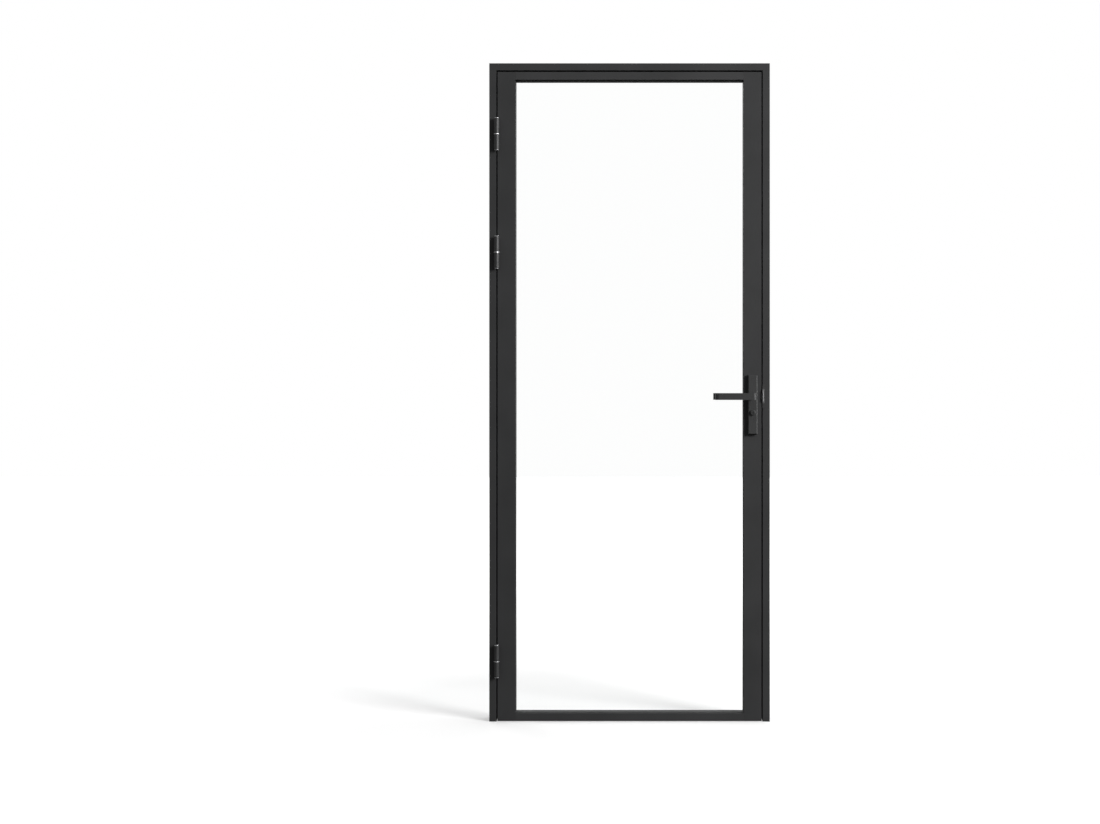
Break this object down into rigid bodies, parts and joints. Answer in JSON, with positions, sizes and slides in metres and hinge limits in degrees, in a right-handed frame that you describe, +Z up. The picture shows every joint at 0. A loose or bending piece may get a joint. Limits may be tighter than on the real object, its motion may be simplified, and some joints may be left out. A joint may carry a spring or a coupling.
{
  "type": "glass door",
  "caption": "Hinged full-height glass door leaf in slim black steel stiles and rails, hung in its three-sided frame, with lever handles, latch and keyed deadbolt.",
  "frame": {"origin": "on the floor under the middle of the door, half-way between the faces of the leaf", "axes": "+Z up the door, +X from the hinges to the lock, +Y back through the door away from the side it opens to"},
  "size_m": [0.895, 0.154, 2.1],
  "materials": {
    "frame_paint": "satin charcoal powder coat, very fine grain",
    "hardware_paint": "satin black coating, slightly smoother than the frame",
    "bright_steel": "turned bright steel",
    "zinc_steel": "zinc-plated steel",
    "black_steel": "blackened screws, satin",
    "brushed_forend": "brushed along its length",
    "cast_aluminium": "as cast, dull",
    "seal_rubber": "matt black rubber",
    "black_plastic": "moulded black nylon",
    "clear_glass": "clear low-iron safety glass, polished edges"
  },
  "bodies": {
    "frame": {"hinge_jamb": "frame_paint", "lock_jamb": "frame_paint", "head_member": "frame_paint", "frame_cleats": "cast_aluminium", "hinge_side_seal": "seal_rubber", "lock_side_seal": "seal_rubber", "head_seal": "seal_rubber", "top_hinge_frame_half": "hardware_paint", "middle_hinge_frame_half": "hardware_paint", "bottom_hinge_frame_half": "hardware_paint", "hinge_pins": "bright_steel", "hinge_washers": "bright_steel", "frame_hinge_backings": "zinc_steel", "frame_hinge_screws": "black_steel", "strike_plate": "hardware_paint", "strike_box": "black_plastic", "strike_backings": "zinc_steel", "strike_screws": "black_steel"},
    "leaf": {"hinge_stile": "frame_paint", "lock_stile": "frame_paint", "top_rail": "frame_paint", "bottom_rail": "frame_paint", "top_bead": "frame_paint", "bottom_bead": "frame_paint", "hinge_side_bead": "frame_paint", "lock_side_bead": "frame_paint", "top_hinge_leaf_half": "hardware_paint", "middle_hinge_leaf_half": "hardware_paint", "bottom_hinge_leaf_half": "hardware_paint", "front_backplate": "hardware_paint", "back_backplate": "hardware_paint", "cylinder_body": "hardware_paint", "hinge_caps": "bright_steel", "leaf_hinge_backings": "zinc_steel", "forend_backing": "zinc_steel", "lock_case": "zinc_steel", "case_cover": "zinc_steel", "cylinder_screw": "zinc_steel", "backplate_bolts": "zinc_steel", "corner_screws": "zinc_steel", "leaf_hinge_screws": "black_steel", "forend_screws": "black_steel", "forend": "brushed_forend", "corner_blocks": "cast_aluminium", "front_gaskets": "seal_rubber", "back_gaskets": "seal_rubber", "stile_caps": "black_plastic", "glazing_blocks": "black_plastic", "lever_bushes": "black_plastic", "glass_pane": "clear_glass"},
    "handle": {"front_lever": "hardware_paint", "back_lever": "hardware_paint", "spindle": "zinc_steel", "follower": "zinc_steel", "grub_screws": "zinc_steel"},
    "latch": {"latch_bolt": "brushed_forend"},
    "deadbolt": {"deadbolt": "brushed_forend"},
    "cylinder_core": {"key_plug": "hardware_paint", "cylinder_cam": "zinc_steel", "thumbturn": "hardware_paint"}
  },
  "joints": [
    {"name": "leaf_swing", "type": "hinge", "parent": "frame", "child": "leaf", "pos_m": [-0.423, -0.038, 1.05], "axis": [0, 0, -1], "range_deg": [0, 170]},
    {"name": "handle_turn", "type": "hinge", "parent": "leaf", "child": "handle", "pos_m": [0.392, 0, 1.037], "axis": [0, -1, 0], "range_deg": [0, 45], "stiffness_Nm_per_rad": 1.2, "springref_deg": -40.11},
    {"name": "latch_slide", "type": "slide", "parent": "leaf", "child": "latch", "axis": [-1, 0, 0], "range_m": [0, 0.012]},
    {"name": "key_turn", "type": "hinge", "parent": "leaf", "child": "cylinder_core", "pos_m": [0.392, 0, 0.986], "axis": [0, 1, 0], "range_deg": [0, 360]},
    {"name": "deadbolt_slide", "type": "slide", "parent": "leaf", "child": "deadbolt", "axis": [1, 0, 0], "range_m": [0, 0.02]}
  ],
  "couplings": [
    {"joint": "latch_slide", "follows": "handle_turn", "m_per_rad": 0.015278},
    {"joint": "key_turn", "follows": "deadbolt_slide", "rad_per_m": 314.16}
  ]
}
